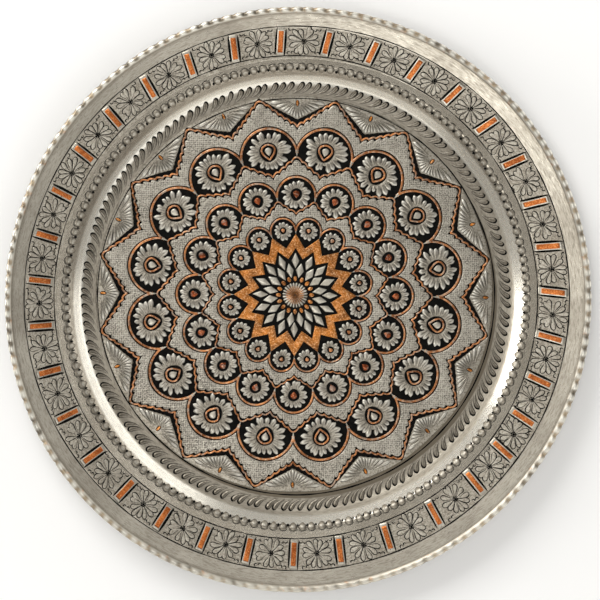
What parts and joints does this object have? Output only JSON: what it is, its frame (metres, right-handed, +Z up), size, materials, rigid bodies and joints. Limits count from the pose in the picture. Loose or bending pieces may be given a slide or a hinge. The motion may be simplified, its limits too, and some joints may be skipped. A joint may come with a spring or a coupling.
{
  "type": "hammered copper tray",
  "caption": "Round tinned copper serving tray with a shallow well, a sloping border, a rolled wired rim and a chased star medallion filled with black.",
  "frame": {"origin": "centre of the underside of the flat base, on the table", "axes": "+Z up through the middle of the tray; -Y towards the person it is served to"},
  "size_m": [0.4, 0.4, 0.0225],
  "materials": {
    "tinned_copper": "hammered tinned copper, worn to bare copper on the chased lines",
    "iron_wire": "drawn iron wire, dull",
    "black_fill": "black lacquer compound"
  },
  "bodies": {
    "root": {"tray_sheet": "tinned_copper", "rim_wire": "iron_wire", "centre_star_fill": "black_fill", "inner_arcade_fill": "black_fill", "middle_arcade_fill": "black_fill", "outer_arcade_fill": "black_fill", "star_border_fill": "black_fill", "medallion_line_fill": "black_fill", "panel_inner_line_fill": "black_fill", "panel_outer_line_fill": "black_fill"}
  },
  "joints": []
}
